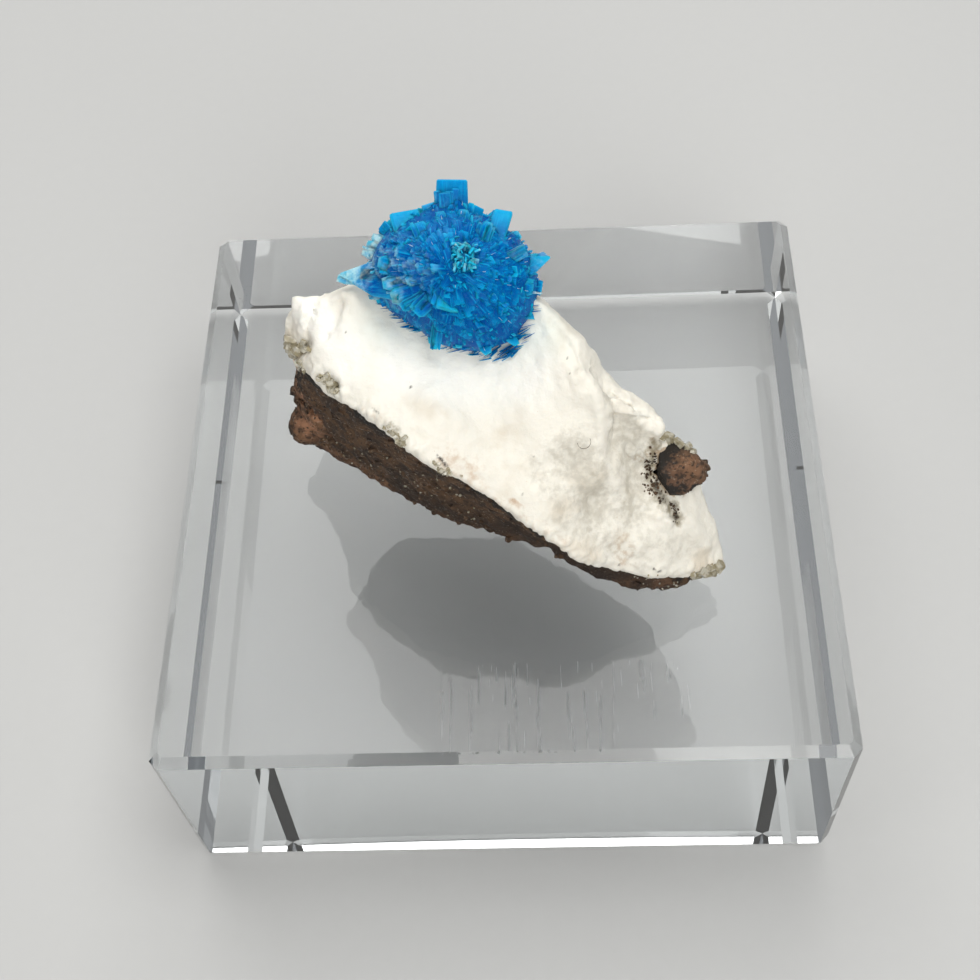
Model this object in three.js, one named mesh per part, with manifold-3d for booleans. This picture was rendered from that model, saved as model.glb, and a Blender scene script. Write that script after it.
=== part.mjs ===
// A cavansite rosette on a white zeolite crust over basalt, resting on a clear display block.
// Millimetres, +Z up, origin at the centre of the block's underside. The viewer stands at -Y.
import * as THREE from "three";
import { mergeVertices } from "three/addons/utils/BufferGeometryUtils.js";
import loadManifold from "manifold-3d";

const wasm = await loadManifold();
wasm.setup();

// Driving dimensions
const BLOCK_SIDE = 50.8;
const BLOCK_HEIGHT = 19.05;
const BLOCK_CHAMFER = 0.7;
const GAP = 0.3; // between pieces that grew on one another
const REST_GAP = 0.1; // under the rock, where it touches the block
const LIP_RECESS = 1.1; // the rock face stands back under the crust's lower edge
const CRUST_THICKNESS = 3.0;
const STATIONS = 27; // sections along the stone
const END_BULGE = 0.5; // how far the stone's ends are domed out
const DOME_STEPS = [0.4, 0.72, 0.92]; // sizes of the sections that close a domed end
const ROSETTE_CENTRE = [-2.3, 0.2, 21.8];
const ROSETTE_RADII = [6.3, 4.9, 4.9];
const ROSETTE_CORE_SHARE = 0.7; // of those radii, the part that is solid
const FILLER_BLADES = 70;
const FILLER_WIDTH = 1.2; // of the narrowest, and the widest is wider by the spread
const FILLER_WIDTH_SPREAD = 0.9;
const BLADE_START = 0.5; // of its length from the rosette's centre, where a blade begins
const BLADE_THICKNESS = 0.45; // of its width
const SHOULDER_AT = 0.7; // of its own length, where a large blade is widest
const GRID = 0.002; // corners of the finished solids are rounded to this

// The stone's long edges, from its left end to its right, with heights above the block's top
const LIP = [
  [-14.3, -0.8, 16.5],
  [-10.4, -5.9, 17.7],
  [-7.0, -8.9, 17.5],
  [-3.5, -11.2, 15.9],
  [0.2, -12.9, 13.5],
  [4.0, -14.3, 11.5],
  [7.4, -14.5, 7.7],
  [11.2, -13.9, 5.6],
  [16.2, -11.8, 2.7],
];
const CREST = [
  [-13.2, 0.5, 20.1],
  [-10.4, -0.8, 21.6],
  [-6.6, 0.7, 21.7],
  [-2.6, 1.2, 21.8],
  [1.6, 0.0, 21.7],
  [5.0, -3.3, 21.1],
  [7.7, -6.4, 17.3],
  [11.2, -7.3, 15.5],
  [13.8, -8.6, 10.2],
];
const BACK = [
  [-13.2, 4.0, 11.5],
  [-10.4, 5.4, 12.5],
  [-6.8, 7.8, 14.2],
  [-3.0, 8.6, 14.4],
  [1.0, 7.6, 14.0],
  [4.6, 4.2, 12.0],
  [7.8, 0.6, 10.0],
  [11.0, -2.8, 7.6],
  [13.8, -5.8, 5.0],
];
const HEEL = [
  [-13.4, 5.0, 1.6],
  [-10.6, 7.4, 0.6],
  [-7.0, 9.2, 0.2],
  [-3.0, 9.8, 0.2],
  [1.0, 9.2, 0.2],
  [5.0, 6.6, 0.3],
  [8.6, 3.0, 0.4],
  [12.0, -1.0, 0.6],
  [14.0, -5.4, 1.4],
];
const KEEL = [
  [-14.0, 3.0, 1.2],
  [-10.6, 2.6, 0.2],
  [-7.0, 2.4, -0.2],
  [-3.2, 1.8, -0.2],
  [0.6, 0.8, -0.2],
  [4.6, -1.4, -0.2],
  [8.4, -4.2, -0.2],
  [11.6, -7.2, -0.1],
  [13.8, -9.4, 0.6],
];
const TOE = [
  [-15.2, 1.4, 3.0],
  [-11.5, -2.4, 1.9],
  [-8.0, -4.3, 1.6],
  [-4.5, -5.8, 1.7],
  [-0.4, -7.4, 2.0],
  [3.4, -8.9, 2.0],
  [7.4, -11.0, 1.5],
  [11.1, -12.7, 0.9],
  [14.2, -12.1, 1.8],
];

// Repeatable noise: a value from 0 to 1 for each cell, blended smoothly between cells
function cellValue(x, y, z) {
  const wave = Math.sin(x * 127.1 + y * 311.7 + z * 74.7) * 43758.5453;
  return wave - Math.floor(wave);
}

function smooth(t) {
  return t * t * (3 - 2 * t);
}

function noise(point, cellSize) {
  const part = point.clone().divideScalar(cellSize);
  const cell = part.clone().floor();
  part.sub(cell);
  let sum = 0;
  for (const dx of [0, 1]) {
    for (const dy of [0, 1]) {
      for (const dz of [0, 1]) {
        const weight =
          smooth(dx ? part.x : 1 - part.x) *
          smooth(dy ? part.y : 1 - part.y) *
          smooth(dz ? part.z : 1 - part.z);
        sum += weight * cellValue(cell.x + dx, cell.y + dy, cell.z + dz);
      }
    }
  }
  return sum * 2 - 1;
}

// Solids
function toSolid(geometry) {
  const bare = geometry.clone();
  bare.deleteAttribute("normal");
  bare.deleteAttribute("uv");
  const merged = mergeVertices(bare, GRID / 10);
  const vertProperties = new Float32Array(merged.attributes.position.array);
  const triVerts = new Uint32Array(merged.index.array);
  return new wasm.Manifold(new wasm.Mesh({ numProp: 3, vertProperties, triVerts }));
}

function toGeometry(solid) {
  const { numProp, vertProperties, triVerts } = solid.getMesh();
  const positions = new Float32Array((vertProperties.length / numProp) * 3);
  for (let i = 0; i < positions.length / 3; i++) {
    const corner = vertProperties.slice(i * numProp, i * numProp + 3);
    positions.set(corner.map((value) => Math.round(value / GRID) * GRID), i * 3);
  }
  const geometry = new THREE.BufferGeometry();
  geometry.setAttribute("position", new THREE.BufferAttribute(positions, 3));
  geometry.setIndex([...triVerts]);
  return geometry;
}

// The biggest piece of a solid with its corners merged, without loose chips or closed-in bubbles
function largestPiece(solid) {
  const pieces = toSolid(toGeometry(solid)).decompose();
  return pieces.reduce((best, piece) => (piece.volume() > best.volume() ? piece : best));
}

// A closed skin through a row of rings with equal counts, ending in a point at each end. Seen from
// the last ring, each ring runs anticlockwise.
function skin(rings, startPoint, endPoint) {
  const around = rings[0].length;
  const points = [...rings.flat(), startPoint, endPoint];
  const start = points.length - 2;
  const end = points.length - 1;
  const lastRing = (rings.length - 1) * around;
  const index = [];
  for (let i = 0; i < around; i++) {
    const next = (i + 1) % around;
    index.push(start, next, i);
    index.push(end, lastRing + i, lastRing + next);
    for (let ring = 0; ring < lastRing; ring += around) {
      index.push(ring + i, ring + next, ring + around + next);
      index.push(ring + i, ring + around + next, ring + around + i);
    }
  }
  const geometry = new THREE.BufferGeometry().setFromPoints(points);
  geometry.setIndex(index);
  return geometry;
}

function middle(ring) {
  const sum = ring.reduce((total, point) => total.add(point), new THREE.Vector3());
  return sum.divideScalar(ring.length);
}

// Moves each point of a skin along its normal
function swell(geometry, distanceAt) {
  geometry.computeVertexNormals();
  const { position, normal } = geometry.attributes;
  const points = [];
  for (let i = 0; i < position.count; i++) {
    const point = new THREE.Vector3().fromBufferAttribute(position, i);
    const outward = new THREE.Vector3().fromBufferAttribute(normal, i);
    points.push(point.clone().addScaledVector(outward, distanceAt(point)));
  }
  return geometry.setFromPoints(points);
}

// A stone body: each rail runs along the stone, and the section at each station is a smooth loop
// through the rails. The ends are domed over.
function loft({ rails, perRail, reliefAt }) {
  const curves = rails.map(
    (rail) => new THREE.CatmullRomCurve3(rail.map((point) => new THREE.Vector3(...point))),
  );
  const around = rails.length * perRail;
  const body = Array.from({ length: STATIONS + 1 }, (_, station) => {
    const corners = curves.map((curve) => curve.getPoint(station / STATIONS));
    const loop = new THREE.CatmullRomCurve3(corners, true, "centripetal");
    return Array.from({ length: around }, (_, i) => loop.getPoint(i / around));
  });
  const dome = (ring, side) => {
    const centre = middle(ring);
    return DOME_STEPS.map((size) => {
      const bulge = side * END_BULGE * Math.sqrt(1 - size * size);
      return ring.map((point) => {
        const shrunk = point.clone().sub(centre).multiplyScalar(size).add(centre);
        return shrunk.setX(shrunk.x + bulge);
      });
    });
  };
  const first = body[0];
  const last = body[STATIONS];
  const rings = [...dome(last, 1), ...body.reverse(), ...dome(first, -1).reverse()];
  const leftEnd = middle(first);
  const rightEnd = middle(last);
  leftEnd.x -= END_BULGE;
  rightEnd.x += END_BULGE;
  return swell(skin(rings, rightEnd, leftEnd), reliefAt);
}

const between = (a, b, t) => a.map((value, i) => value + (b[i] - value) * t);
const blend = (railA, railB, t) => railA.map((point, i) => between(point, railB[i], t));
const CORE = blend(blend(LIP, CREST, 0.5), blend(TOE, HEEL, 0.5), 0.45);

// A rail moved towards the stone's core by a distance
function inward(rail, distance) {
  return rail.map((point, i) => {
    const [x, y, z] = point;
    const length = Math.hypot(x - CORE[i][0], y - CORE[i][1], z - CORE[i][2]);
    return between(point, CORE[i], distance / length);
  });
}

// Named swellings and hollows in a surface: where, how wide, how high
function relief(features, point) {
  return features.reduce((sum, { at, width, height }) => {
    const distance = point.distanceTo(new THREE.Vector3(...at));
    return sum + height * Math.exp(-((distance / width) ** 2));
  }, 0);
}

// Flat breaks in the rock: a point on each and the way it faces
const BREAKS = [
  { at: [-1.0, 6.0, 14.6], facing: [0.05, 0.75, 0.66] },
  { at: [-9.0, 6.6, 8.0], facing: [-0.42, 0.9, 0.1] },
  { at: [5.6, 4.0, 7.0], facing: [0.5, 0.84, 0.2] },
  { at: [-1.5, 8.3, 4.0], facing: [0.02, 0.93, -0.36] },
  { at: [10.8, -2.6, 6.0], facing: [0.55, 0.8, 0.25] },
  { at: [-13.9, 2.6, 12.0], facing: [-0.92, 0.1, 0.38] },
  { at: [-9.6, -4.2, 8.0], facing: [-0.55, -0.8, -0.22] },
];
const BREAK_SLAB = 30;

function breakCutter({ at, facing }, inflate) {
  const outward = new THREE.Vector3(...facing).normalize();
  const slab = new THREE.BoxGeometry(BREAK_SLAB, BREAK_SLAB, BREAK_SLAB);
  slab.translate(0, 0, BREAK_SLAB / 2 + inflate);
  const turn = new THREE.Quaternion().setFromUnitVectors(new THREE.Vector3(0, 0, 1), outward);
  slab.applyQuaternion(turn);
  return toSolid(slab.translate(...at));
}

// Basalt: a broken face under the lip, hidden under the crust at the top, open at the back
function basaltBody(inflate) {
  const geometry = loft({
    rails: [
      TOE,
      blend(TOE, inward(LIP, LIP_RECESS), 0.5),
      inward(LIP, LIP_RECESS),
      inward(blend(LIP, CREST, 0.33), CRUST_THICKNESS),
      inward(blend(LIP, CREST, 0.7), CRUST_THICKNESS),
      inward(CREST, CRUST_THICKNESS),
      BACK,
      HEEL,
      KEEL,
    ],
    perRail: 3,
    reliefAt: (point) => 0.55 * noise(point, 2.6) + 0.2 * noise(point, 1.3) + inflate,
  });
  return BREAKS.reduce((rock, spec) => rock.subtract(breakCutter(spec, inflate)), toSolid(geometry));
}

// Crust: a soft lumpy blanket, rounded at its lower lip and thinning out over the crest
const CRUST_RELIEF = [
  { at: [6.9, -5.5, 19.5], width: 1.7, height: 0.5 },
  { at: [8.3, -7.7, 16.0], width: 1.7, height: 0.6 },
  { at: [8.9, -10.3, 12.5], width: 1.7, height: 0.5 },
  { at: [9.8, -7.8, 15.0], width: 1.2, height: -0.9 },
  { at: [10.6, -9.4, 12.6], width: 1.4, height: -0.8 },
  { at: [-11.0, -1.4, 21.0], width: 1.1, height: -0.7 },
  { at: [-13.0, 0.2, 19.6], width: 1.2, height: 0.5 },
];

function crustBody(inflate) {
  const geometry = loft({
    rails: [
      inward(LIP, 2.0),
      LIP,
      blend(LIP, CREST, 0.33),
      blend(LIP, CREST, 0.68),
      CREST,
      blend(CREST, BACK, 0.35),
      inward(CREST, CRUST_THICKNESS + 2.5),
      inward(blend(LIP, CREST, 0.4), CRUST_THICKNESS + 2.5),
    ],
    perRail: 4,
    reliefAt: (point) =>
      0.5 * noise(point, 4.2) + 0.22 * noise(point, 1.9) + relief(CRUST_RELIEF, point) + inflate,
  });
  return toSolid(geometry);
}

// Angular lumps of the rock that stand out of it, as rough cut solids
const NUBS = [
  { at: [13.1, -8.5, 11.2], size: [1.9, 1.7, 2.1], turn: [0.3, 0.5, 0.2] },
  { at: [12.8, -8.0, 8.6], size: [1.5, 1.5, 2.4], turn: [0, 0, 0.4] },
  { at: [-14.7, 0.7, 5.0], size: [1.5, 1.5, 2.1], turn: [0.2, 0.3, 0.1] },
  { at: [-14.9, 1.0, 8.2], size: [0.9, 0.9, 0.9], turn: [0.5, 0.1, 0.3] },
  { at: [11.0, -11.8, 2.2], size: [2.6, 1.3, 1.5], turn: [0.1, 0.2, -0.1] },
];

function nub({ at, size, turn }, inflate) {
  const geometry = new THREE.DodecahedronGeometry(1);
  geometry.scale(...size.map((radius) => radius + inflate));
  const placed = new THREE.Matrix4().makeRotationFromEuler(new THREE.Euler(...turn));
  placed.setPosition(...at);
  return toSolid(geometry.applyMatrix4(placed));
}

function basaltWithNubs(inflate) {
  return NUBS.reduce((rock, spec) => rock.add(nub(spec, inflate)), basaltBody(inflate));
}

// Cavansite blades are flat crystals that end in a chisel edge. The large ones are six-sided and
// widen to a shoulder, and the small ones between them are four-sided.
const SIX_SIDED = [
  [0.5, 0],
  [0.32, 0.5],
  [-0.32, 0.5],
  [-0.5, 0],
  [-0.32, -0.5],
  [0.32, -0.5],
];
const FOUR_SIDED = [
  [0.5, 0.4],
  [-0.5, 0.5],
  [-0.5, -0.4],
  [0.5, -0.5],
];

function blade({ length, width, large }) {
  const outline = large ? SIX_SIDED : FOUR_SIDED;
  const thick = width * BLADE_THICKNESS;
  const start = length * BLADE_START;
  const ring = (height, wideShare, thickShare) =>
    outline.map(
      ([x, y]) => new THREE.Vector3(x * width * wideShare, y * thick * thickShare, height),
    );
  const foot = ring(start, 0.75, 0.9);
  const shoulder = ring(start + (length - start) * SHOULDER_AT, 1, 1);
  const end = ring(length, 0.72, 0.4);
  const rings = large ? [foot, shoulder, end] : [foot, ring(length, 0.95, 0.6)];
  return skin(rings, new THREE.Vector3(0, 0, start), new THREE.Vector3(0, 0, length));
}

// The blades that make the rosette's outline: azimuth from +X and elevation in degrees
const OUTLINE_BLADES = [
  { azimuth: 86, elevation: 45, length: 6.7, width: 2.3, roll: 0 },
  { azimuth: 98, elevation: 46, length: 5.8, width: 1.2, roll: 40 },
  { azimuth: 41, elevation: 31, length: 6.0, width: 1.5, roll: 0 },
  { azimuth: 24, elevation: 20, length: 5.8, width: 1.2, roll: 20 },
  { azimuth: 6, elevation: 7, length: 6.8, width: 1.8, roll: 0 },
  { azimuth: -10, elevation: 0, length: 6.6, width: 1.3, roll: 20 },
  { azimuth: -26, elevation: -8, length: 6.5, width: 1.3, roll: 0 },
  { azimuth: -46, elevation: -15, length: 6.6, width: 1.3, roll: -20 },
  { azimuth: -65, elevation: -16, length: 5.6, width: 1.2, roll: 10 },
  { azimuth: -84, elevation: -15, length: 5.1, width: 1.2, roll: -10 },
  { azimuth: -106, elevation: -15, length: 5.3, width: 1.2, roll: 0 },
  { azimuth: -130, elevation: -10, length: 4.9, width: 1.3, roll: 15 },
  { azimuth: -150, elevation: -8, length: 5.3, width: 1.2, roll: -10 },
  { azimuth: -166, elevation: 0, length: 6.6, width: 1.4, roll: 25 },
  { azimuth: -177, elevation: 9, length: 7.4, width: 2.1, roll: 0 },
  { azimuth: 168, elevation: 20, length: 6.7, width: 1.6, roll: 10 },
  { azimuth: 150, elevation: 32, length: 6.0, width: 1.4, roll: -20 },
  { azimuth: 130, elevation: 39, length: 5.7, width: 2.0, roll: 0 },
  { azimuth: 110, elevation: 44, length: 5.3, width: 1.2, roll: 10 },
];

// Between them, blades on a golden-angle spiral cover the mound
function fillerBlades() {
  const goldenAngle = Math.PI * (3 - Math.sqrt(5));
  return Array.from({ length: FILLER_BLADES }, (_, i) => {
    const rise = 0.99 - (1.1 * (i + 0.5)) / FILLER_BLADES;
    const reach = Math.sqrt(1 - rise * rise);
    const [x, y, z] = ROSETTE_RADII;
    const tip = new THREE.Vector3(
      x * reach * Math.cos(i * goldenAngle),
      y * reach * Math.sin(i * goldenAngle),
      z * rise,
    );
    return {
      azimuth: THREE.MathUtils.radToDeg(Math.atan2(tip.y, tip.x)),
      elevation: THREE.MathUtils.radToDeg(Math.asin(tip.z / tip.length())),
      length: tip.length() * (0.9 + 0.14 * cellValue(i, 3, 7)),
      width: FILLER_WIDTH + FILLER_WIDTH_SPREAD * cellValue(i, 5, 1),
      roll: 180 * cellValue(i, 1, 2),
    };
  });
}

function placedBlade({ azimuth, elevation, length, width, roll }, large) {
  const geometry = blade({ length, width, large });
  geometry.rotateZ(THREE.MathUtils.degToRad(90 + roll));
  geometry.rotateY(THREE.MathUtils.degToRad(90 - elevation));
  geometry.rotateZ(THREE.MathUtils.degToRad(azimuth));
  geometry.translate(...ROSETTE_CENTRE);
  return toSolid(geometry);
}

function rosetteSolid() {
  const core = new THREE.IcosahedronGeometry(1, 2);
  core.scale(...ROSETTE_RADII.map((radius) => radius * ROSETTE_CORE_SHARE));
  core.translate(...ROSETTE_CENTRE);
  const large = OUTLINE_BLADES.map((spec) => placedBlade(spec, true));
  const small = fillerBlades().map((spec) => placedBlade(spec, false));
  return [...large, ...small].reduce((spray, next) => spray.add(next), toSolid(core));
}

// Display block: an eight-sided outline at each level takes the corners off, and the smaller
// outlines at the top and bottom take the long edges off
function displayBlock() {
  const half = BLOCK_SIDE / 2;
  const level = (reach, cut, z) => {
    const corners = [
      [reach, -cut],
      [reach, cut],
      [cut, reach],
      [-cut, reach],
      [-reach, cut],
      [-reach, -cut],
      [-cut, -reach],
      [cut, -reach],
    ];
    return corners.map(([x, y]) => new THREE.Vector3(x, y, z));
  };
  const inner = half - BLOCK_CHAMFER;
  const rings = [
    level(inner, inner - BLOCK_CHAMFER / 2, 0),
    level(half, inner, BLOCK_CHAMFER),
    level(half, inner, BLOCK_HEIGHT - BLOCK_CHAMFER),
    level(inner, inner - BLOCK_CHAMFER / 2, BLOCK_HEIGHT),
  ];
  return skin(rings, new THREE.Vector3(0, 0, 0), new THREE.Vector3(0, 0, BLOCK_HEIGHT));
}

// Keeps the rock off the block: everything under its resting level is cut away
function restingCut() {
  const slab = new THREE.BoxGeometry(BLOCK_SIDE, BLOCK_SIDE, BLOCK_HEIGHT);
  slab.translate(0, 0, REST_GAP - BLOCK_HEIGHT / 2);
  return toSolid(slab);
}

// A body and the gap around it
function withGap(bodyAt) {
  return bodyAt(0).add(bodyAt(GAP));
}

const basaltRoom = withGap(basaltWithNubs);
const crustRoom = withGap(crustBody);
const basalt = largestPiece(basaltWithNubs(0).subtract(restingCut()));
const crust = largestPiece(crustBody(0).subtract(basaltRoom).subtract(restingCut()));
const rosette = largestPiece(rosetteSolid().subtract(crustRoom).subtract(basaltRoom));

const object = new THREE.Group();
const specimen = new THREE.Group();
specimen.position.z = BLOCK_HEIGHT;
object.add(specimen);

function addPiece(parent, name, geometry, look) {
  const mesh = new THREE.Mesh(geometry, new THREE.MeshStandardMaterial(look));
  mesh.name = name;
  parent.add(mesh);
}

addPiece(object, "acrylic_block", displayBlock(), {
  color: 0xdfe6ea,
  roughness: 0.05,
  metalness: 0,
  transparent: true,
  opacity: 0.3,
});
addPiece(specimen, "basalt_matrix", toGeometry(basalt), {
  color: 0x4a2c22,
  roughness: 0.9,
  metalness: 0,
});
addPiece(specimen, "zeolite_crust", toGeometry(crust), {
  color: 0xf1ece4,
  roughness: 0.7,
  metalness: 0,
});
addPiece(specimen, "cavansite_rosette", toGeometry(rosette), {
  color: 0x0a6fb4,
  roughness: 0.3,
  metalness: 0,
});

export default object;
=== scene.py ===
# Cavansite rosette on a white zeolite crust over basalt, resting on a clear acrylic block.
# Stone and crystals are modelled in millimetres and brought down to metres at the end.
import math
import random
import bpy
import numpy as np
from mathutils import Matrix, Vector, noise
from mathutils.bvhtree import BVHTree
from mathutils.kdtree import KDTree


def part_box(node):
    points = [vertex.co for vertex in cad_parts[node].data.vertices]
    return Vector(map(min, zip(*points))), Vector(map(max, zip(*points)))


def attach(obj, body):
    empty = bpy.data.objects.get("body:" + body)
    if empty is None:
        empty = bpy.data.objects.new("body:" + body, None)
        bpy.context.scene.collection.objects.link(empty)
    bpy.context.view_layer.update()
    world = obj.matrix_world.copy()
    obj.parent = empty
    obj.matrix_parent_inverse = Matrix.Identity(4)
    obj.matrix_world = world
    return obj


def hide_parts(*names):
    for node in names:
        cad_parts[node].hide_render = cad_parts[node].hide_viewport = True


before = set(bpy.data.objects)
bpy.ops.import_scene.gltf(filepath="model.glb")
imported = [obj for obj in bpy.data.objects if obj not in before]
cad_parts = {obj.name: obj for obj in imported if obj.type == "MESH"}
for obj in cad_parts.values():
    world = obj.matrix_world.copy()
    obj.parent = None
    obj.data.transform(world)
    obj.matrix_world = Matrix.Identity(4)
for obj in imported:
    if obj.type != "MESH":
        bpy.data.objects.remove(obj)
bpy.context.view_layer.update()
mm = 0.001
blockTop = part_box("acrylic_block")[1].z / mm

# Camera, and the rays that find a place on the stone by its pixel in the photograph
cameraValues = {
    "place": (4.51, -65.08, 115.24),  # mm
    "heading": 4.92,  # degrees, to the left of straight ahead
    "downTilt": 56.95,
    "roll": -5.69,
    "lens": 53.46,
    "sensor": 36,
    "frameSize": 980,  # pixels
}


def addObject(name, data):
    thing = bpy.data.objects.new(name, data)
    bpy.context.scene.collection.objects.link(thing)
    return thing


def addCamera():
    values = cameraValues
    data = bpy.data.cameras.new("photoCamera")
    data.lens = values["lens"]
    data.sensor_width = values["sensor"]
    data.clip_start = 0.005
    camera = addObject("photoCamera", data)
    turn = Matrix.Rotation(math.radians(values["heading"]), 4, "Z")
    turn = turn @ Matrix.Rotation(math.radians(90 - values["downTilt"]), 4, "X")
    turn = turn @ Matrix.Rotation(math.radians(values["roll"]), 4, "Z")
    camera.matrix_world = Matrix.Translation(Vector(values["place"]) * mm) @ turn
    bpy.context.scene.camera = camera
    return turn.to_3x3()


cameraTurn = addCamera()


def pixelRay(px, py):  # start in mm and direction
    values = cameraValues
    half = values["frameSize"] / 2
    reach = values["lens"] / values["sensor"] * values["frameSize"]
    direction = Vector(((px - half) / reach, (half - py) / reach, -1))
    return Vector(values["place"]), (cameraTurn @ direction).normalized()


print("camera placed")


# Small helpers for the modelling
def pick(piece):
    if bpy.context.object and bpy.context.object.mode != "OBJECT":
        bpy.ops.object.mode_set(mode="OBJECT")
    bpy.ops.object.select_all(action="DESELECT")
    piece.select_set(True)
    bpy.context.view_layer.objects.active = piece


def applyModifier(piece, kind, **values):
    pick(piece)
    modifier = piece.modifiers.new(kind.title(), kind)
    for name, value in values.items():
        setattr(modifier, name, value)
    bpy.ops.object.modifier_apply(modifier=modifier.name)


def enlargedCopy(nodeName, pieceName):  # a merged copy of a CAD node, 1 unit to the mm
    piece = addObject(pieceName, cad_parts[nodeName].data.copy())
    piece.data.materials.clear()
    pick(piece)
    piece.scale = (1 / mm,) * 3
    bpy.ops.object.transform_apply(location=False, rotation=False, scale=True)
    bpy.ops.object.mode_set(mode="EDIT")
    bpy.ops.mesh.select_all(action="SELECT")
    bpy.ops.mesh.remove_doubles(threshold=0.0005)
    bpy.ops.object.mode_set(mode="OBJECT")
    return piece


def joinInto(piece, parts):
    pick(piece)
    for part in parts:
        part.select_set(True)
    bpy.ops.object.join()


def bringDown(piece, material, slotName, *nodes):  # to metres, dressed, and standing for its node
    pick(piece)
    piece.scale = (mm,) * 3
    bpy.ops.object.transform_apply(location=False, rotation=False, scale=True)
    piece.data.materials.clear()
    piece.data.materials.append(material)
    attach(piece, "root")
    if nodes:
        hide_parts(*nodes)


def roughen(piece, pattern, size, height, **values):  # pushes the surface in and out by a pattern
    texture = bpy.data.textures.new(f"{piece.name}{pattern}{size}", pattern)
    texture.noise_scale = size
    for name, value in values.items():
        setattr(texture, name, value)
    applyModifier(
        piece, "DISPLACE", texture=texture, texture_coords="LOCAL", strength=height, mid_level=0.5
    )


def remesh(piece, voxel):
    applyModifier(piece, "REMESH", mode="VOXEL", voxel_size=voxel)


def soften(piece, rounds):
    applyModifier(piece, "SMOOTH", factor=0.5, iterations=rounds)


def swell(piece, distance):
    applyModifier(piece, "DISPLACE", strength=distance, mid_level=0)


def corners(piece, field="co"):  # their places, or with "normal" their outward directions
    vectors = np.empty(len(piece.data.vertices) * 3)
    piece.data.vertices.foreach_get(field, vectors)
    return vectors.reshape(-1, 3)


def setCorners(piece, points):
    piece.data.vertices.foreach_set("co", points.ravel())
    piece.data.update()


def surfaceTree(*pieces):
    points = []
    faces = []
    for piece in pieces:
        first = len(points)
        points += [vertex.co.copy() for vertex in piece.data.vertices]
        faces += [[first + i for i in face.vertices] for face in piece.data.polygons]
    return BVHTree.FromPolygons(points, faces)


def onSurface(tree, px, py):  # beside the outline it is the nearest place on the surface
    start, way = pixelRay(px, py)
    hit = tree.ray_cast(start, way)
    if hit[0] is None:
        hit = tree.find_nearest(start + way * (Vector((0, 0, blockTop)) - start).length)
        hit = tree.find_nearest(start + way * (hit[0] - start).length)
    return hit[:2]


def placesOn(tree, pixels):
    return [onSurface(tree, *pixel)[0] for pixel in pixels]


def distanceToLine(points, line):  # of many points to a chain of segments
    nearest = np.full(len(points), 1e9)
    if len(line) == 1:
        return np.linalg.norm(points - np.array(line[0]), axis=1)
    for start, end in zip(line, line[1:]):
        start = np.array(start)
        way = np.array(end) - start
        share = np.clip((points - start) @ way / (way @ way), 0, 1)
        gap = np.linalg.norm(points - start - share[:, None] * way, axis=1)
        nearest = np.minimum(nearest, gap)
    return nearest


def mould(piece, features):  # presses grooves and raises ridges
    tree = surfaceTree(piece)
    points = corners(piece)
    outward = corners(piece, "normal")
    push = np.zeros(len(points))
    for pixels, width, height in features:
        gap = distanceToLine(points, placesOn(tree, pixels)) / width
        push += height * np.exp(-(gap ** 2))
    setCorners(piece, points + outward * push[:, None])


def patchCover(points, patches, tree):  # full in the middle of a patch, nothing at its edge
    cover = np.zeros(len(points))
    for pixels, radius, strength in patches:
        gap = np.clip(1 - distanceToLine(points, placesOn(tree, pixels)) / radius, 0, 1)
        cover = np.maximum(cover, strength * gap * gap * (3 - 2 * gap))
    return cover


def setLayer(mesh, name, values, kind="FLOAT", field="value"):
    layer = mesh.attributes.new(name, kind, "POINT")
    layer.data.foreach_set(field, values.ravel())


def paintNear(piece, name, tree, reach):  # strongest where the other surface is close
    points = corners(piece)
    apart = np.array([tree.find_nearest(Vector(point))[3] for point in points])
    setLayer(piece.data, name, np.clip(1 - apart / reach, 0, 1))


def lumps(piece, zones, size, height, tree):  # small knobs in some zones only
    points = corners(piece)
    outward = corners(piece, "normal")
    cover = patchCover(points, zones, tree)
    knob = [noise.noise(Vector(point) / size) if share > 0 else 0 for point, share in zip(points, cover)]
    setCorners(piece, points + outward * (cover * height * np.abs(knob))[:, None])


def shave(piece, cut):  # presses flat broken faces onto a knob
    hit = onSurface(surfaceTree(piece), *cut["pixel"])[0]
    centre = hit + pixelRay(*cut["pixel"])[1] * cut["depth"]
    points = corners(piece)
    near = np.linalg.norm(points - np.array(centre), axis=1) < cut["reach"]
    for angle, tilt, distance in cut["faces"]:
        way = np.array(cameraTurn @ wayOf(angle, tilt))
        over = (points - np.array(centre)) @ way - distance
        over = np.where(near, np.clip(over, 0, None), 0)
        points -= over[:, None] * way
    setCorners(piece, points)


def wayOf(azimuth, elevation):
    level = math.cos(math.radians(elevation))
    return Vector((
        math.cos(math.radians(azimuth)) * level,
        math.sin(math.radians(azimuth)) * level,
        math.sin(math.radians(elevation)),
    ))


def scatter(chance, tree, pixels, spread, count):  # random places on the stone around a line of pixels
    stretches = list(zip(pixels, pixels[1:]))
    lengths = [math.dist(*ends) for ends in stretches]
    places = []
    for i in range(count):
        start, end = chance.choices(stretches, lengths)[0]
        share = chance.random()
        px = start[0] + (end[0] - start[0]) * share + chance.gauss(0, spread)
        py = start[1] + (end[1] - start[1]) * share + chance.gauss(0, spread)
        hit = tree.ray_cast(*pixelRay(px, py))
        if hit[0] is not None:
            places.append(hit[:2])
    return places


def standOnBlock(piece):
    points = corners(piece)
    points[:, 2] = np.maximum(points[:, 2], blockTop + basaltValues["air"])
    setCorners(piece, points)


def facePlaces(piece, chance, count):  # random places all over a piece
    faces = chance.sample(range(len(piece.data.polygons)), count)
    return [(piece.data.polygons[i].center.copy(), piece.data.polygons[i].normal.copy()) for i in faces]


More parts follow.
